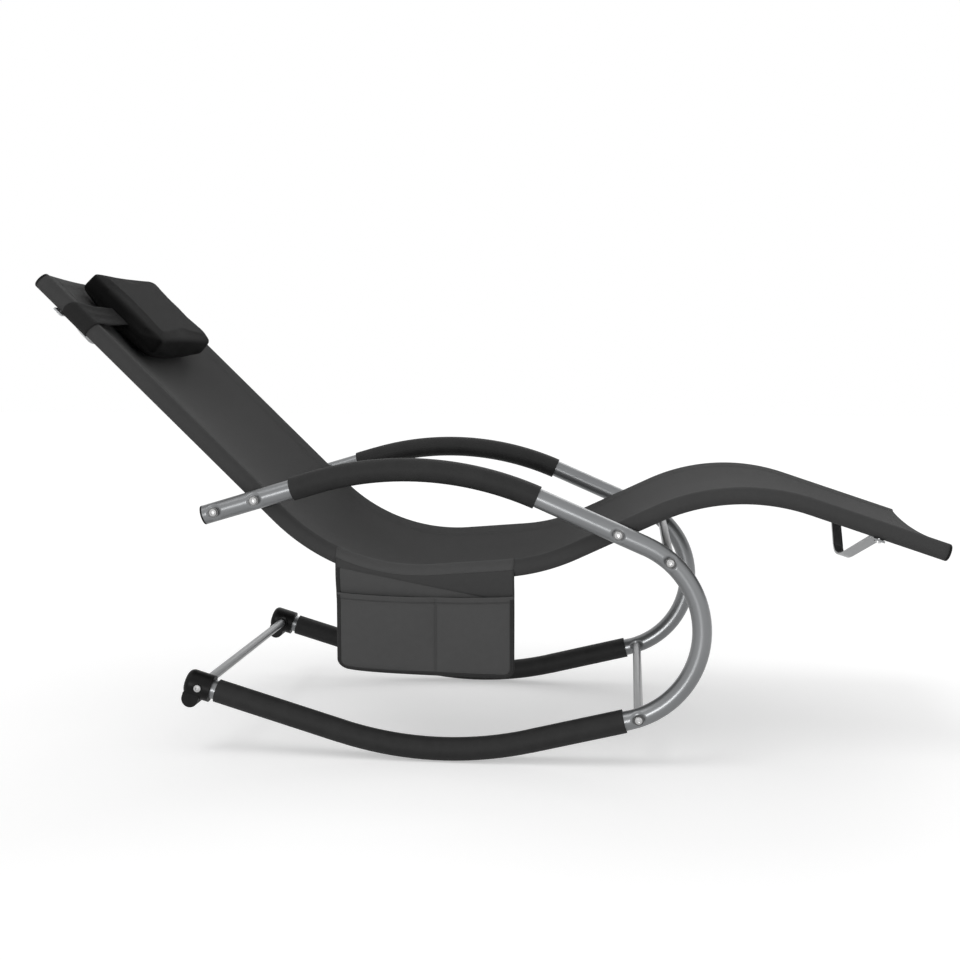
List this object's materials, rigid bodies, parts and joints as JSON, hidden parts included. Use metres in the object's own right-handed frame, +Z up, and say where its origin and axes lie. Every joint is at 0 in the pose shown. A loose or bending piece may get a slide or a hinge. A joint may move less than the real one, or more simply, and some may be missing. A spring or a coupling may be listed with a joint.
{
  "type": "rocking chaise lounge",
  "caption": "Rocking sun lounger: tubular steel side loops that roll on the floor, wavy rails with a fabric sling, a sliding head cushion and a hanging side bag.",
  "frame": {"origin": "on the floor, midway between the two rockers and under the middle of the overall length; z = 0 is where the rockers touch the floor at rest", "axes": "+X from the head end towards the foot end, +Y towards the sitter's left, +Z up"},
  "size_m": [1.5327, 0.6102, 0.8124],
  "materials": {
    "silver_paint": "satin silver-grey powder coat",
    "bright_zinc": "bright zinc-plated steel",
    "foam_sleeve": "smooth dark foam rubber, slight sheen",
    "black_plastic": "moulded black plastic, matte",
    "sling_fabric": "charcoal coated mesh, plain fine weave",
    "cushion_fabric": "dark grey woven fabric, padded",
    "dark_tape": "dark woven edging tape"
  },
  "bodies": {
    "frame": {"right_side_rail": "silver_paint", "left_side_rail": "silver_paint", "rail_end_plugs": "black_plastic", "right_rocker_tube": "silver_paint", "left_rocker_tube": "silver_paint", "right_arm_tube": "silver_paint", "left_arm_tube": "silver_paint", "right_arm_sleeve": "foam_sleeve", "left_arm_sleeve": "foam_sleeve", "right_rocker_sleeve": "foam_sleeve", "left_rocker_sleeve": "foam_sleeve", "arm_end_plugs": "black_plastic", "right_rear_foot": "black_plastic", "left_rear_foot": "black_plastic", "rear_rocker_bar": "silver_paint", "front_rocker_bar": "silver_paint", "knee_bar": "silver_paint", "back_bar": "silver_paint", "bar_inserts": "bright_zinc", "head_brace": "silver_paint", "foot_brace": "silver_paint", "brace_bolts": "bright_zinc", "rail_nuts": "bright_zinc", "back_joint_bolts": "bright_zinc", "seat_joint_bolts": "bright_zinc", "joint_spacers": "black_plastic", "cross_bar_bolts": "bright_zinc", "rear_foot_bolts": "bright_zinc", "saddle_washers": "bright_zinc", "sling_panel": "sling_fabric", "right_sling_hem": "sling_fabric", "left_sling_hem": "sling_fabric", "bag_header": "sling_fabric"},
    "head_cushion": {"head_cushion": "cushion_fabric", "cushion_band": "dark_tape"},
    "side_bag": {"bag_back_panel": "sling_fabric", "bag_pockets": "sling_fabric", "bag_edge_tape": "dark_tape"}
  },
  "joints": [
    {"name": "cushion_slide", "type": "slide", "parent": "frame", "child": "head_cushion", "axis": [0.7169, 0, -0.6972], "range_m": [0, 0.25]},
    {"name": "bag_swing", "type": "hinge", "parent": "frame", "child": "side_bag", "pos_m": [-0.0939, -0.2584, 0.2896], "axis": [-1, 0, 0], "range_deg": [-40, 50]}
  ]
}
